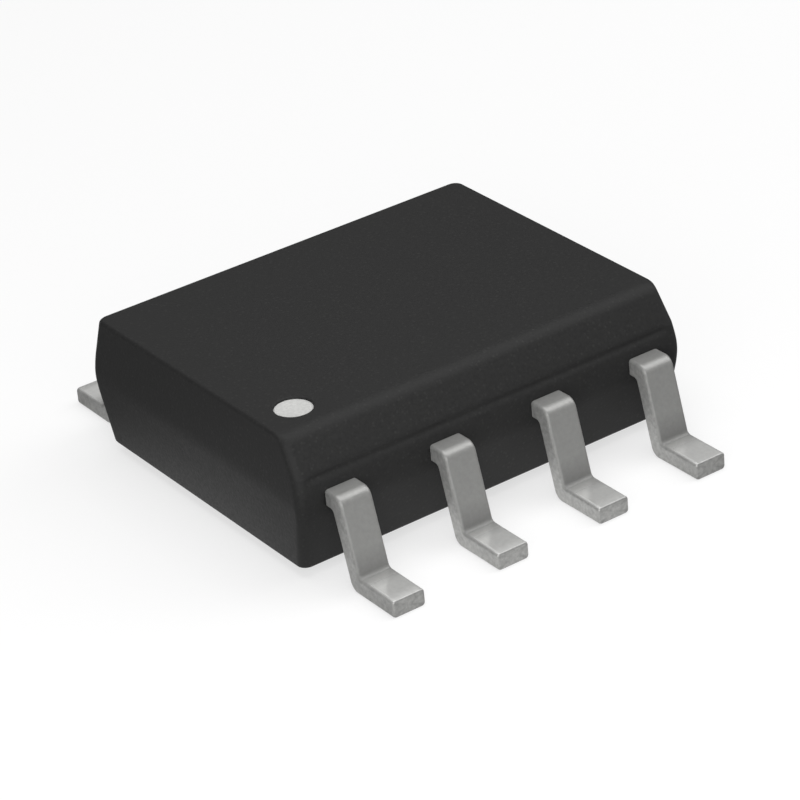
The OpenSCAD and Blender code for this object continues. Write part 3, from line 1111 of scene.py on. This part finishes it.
# Each softbox has a name, an azimuth and an elevation in degrees, a distance from the middle of the chip and
# a side in millimetres, and a brightness, where 1 is white
SOFTBOXES = (
    ("overhead softbox", 0, 88, 60, 60, 2.08),
    ("left softbox", -60, 12, 60, 45, 1.55),
    ("right softbox", 75, 42, 60, 45, 1.94),
    ("back softbox", 165, 42, 60, 45, 0.3),
    ("near softbox", -30, 20, 16, 12, 1.9),
)


def studio_lamps():
    """Square softboxes that face the chip. A box at azimuth 0 shines along +Y, and one at a positive azimuth
    stands further to +X. A box gives off its brightness times its area times pi."""
    middle = Vector((0, 0, BODY_HIGH.z / 2))
    for name, azimuth, elevation, reach, side, brightness in SOFTBOXES:
        lamp = bpy.data.lights.new(name, "AREA")
        lamp.shape = "SQUARE"
        lamp.size = side * MM
        lamp.energy = brightness * np.pi * lamp.size**2
        turn, lift = radians(azimuth), radians(elevation)
        away = Vector((np.sin(turn) * np.cos(lift), -np.cos(turn) * np.cos(lift), np.sin(lift)))
        facing = away.to_track_quat("Z", "Y").to_matrix().to_4x4()
        box = bpy.data.objects.new(name, lamp)
        box.matrix_world = Matrix.Translation(middle + away * reach * MM) @ facing
        bpy.context.collection.objects.link(box)


def studio_camera(settings):
    """Camera at its place, turned to its aim, then rolled about its line of sight."""
    stand, aim = Vector(settings.camera_place), Vector(settings.camera_aim)
    ahead = (aim - stand).normalized()
    right = ahead.cross(UP).normalized()
    facing = Matrix((right, right.cross(ahead), -ahead)).transposed().to_4x4()
    camera = bpy.data.cameras.new("camera")
    camera.lens = settings.focal_length
    camera.clip_start = 1 * MM
    camera.clip_end = 2000 * MM
    body = bpy.data.objects.new("camera", camera)
    body.matrix_world = Matrix.Translation(stand) @ facing @ Matrix.Rotation(settings.camera_roll, 4, "Z")
    bpy.context.collection.objects.link(body)
    bpy.context.scene.camera = body


class CHIP_OT_stage(bpy.types.Operator):
    """Sets up the floor, the soft light and the camera"""

    bl_idname = "chip.stage"
    bl_label = "Studio"

    def execute(self, context):
        settings = chip("stage")
        studio_floor(settings)
        studio_world(settings)
        studio_lamps()
        studio_camera(settings)
        context.scene.view_settings.view_transform = "Standard"
        return {"FINISHED"}


# The groups in the order they are built in: the leads come before the body, which is moulded round them
GROUPS = {
    "leads": (CHIP_PG_leads, CHIP_OT_leads),
    "pad": (CHIP_PG_pad, CHIP_OT_pad),
    "body": (CHIP_PG_body, CHIP_OT_body),
    "dot": (CHIP_PG_dot, CHIP_OT_dot),
    "inside": (CHIP_PG_inside, CHIP_OT_inside),
    "stage": (CHIP_PG_stage, CHIP_OT_stage),
}


class CHIP_PT_panel(bpy.types.Panel):
    """Sizes, colours and pieces of the chip"""

    bl_label = "Small-outline chip"
    bl_idname = "CHIP_PT_panel"
    bl_space_type = "VIEW_3D"
    bl_region_type = "UI"
    bl_category = "Chip"

    def draw(self, context):
        for group, (_, operator) in GROUPS.items():
            box = self.layout.box()
            box.label(text=operator.bl_label)
            settings = chip(group)
            for name in settings.__annotations__:
                box.prop(settings, name)
            box.operator(operator.bl_idname)


def register():
    """Adds each group's settings and operator, and the panel that lists them."""
    for group, (settings, operator) in GROUPS.items():
        bpy.utils.register_class(settings)
        bpy.utils.register_class(operator)
        setattr(bpy.types.Scene, "chip_" + group, PointerProperty(type=settings))
    bpy.utils.register_class(CHIP_PT_panel)


def unregister():
    """Takes away what register added, in the opposite order."""
    bpy.utils.unregister_class(CHIP_PT_panel)
    for group, (settings, operator) in reversed(GROUPS.items()):
        delattr(bpy.types.Scene, "chip_" + group)
        bpy.utils.unregister_class(operator)
        bpy.utils.unregister_class(settings)


def main():
    """Builds every group."""
    register()
    for group in GROUPS:
        getattr(bpy.ops.chip, group)()


if __name__ == "__main__":
    main()
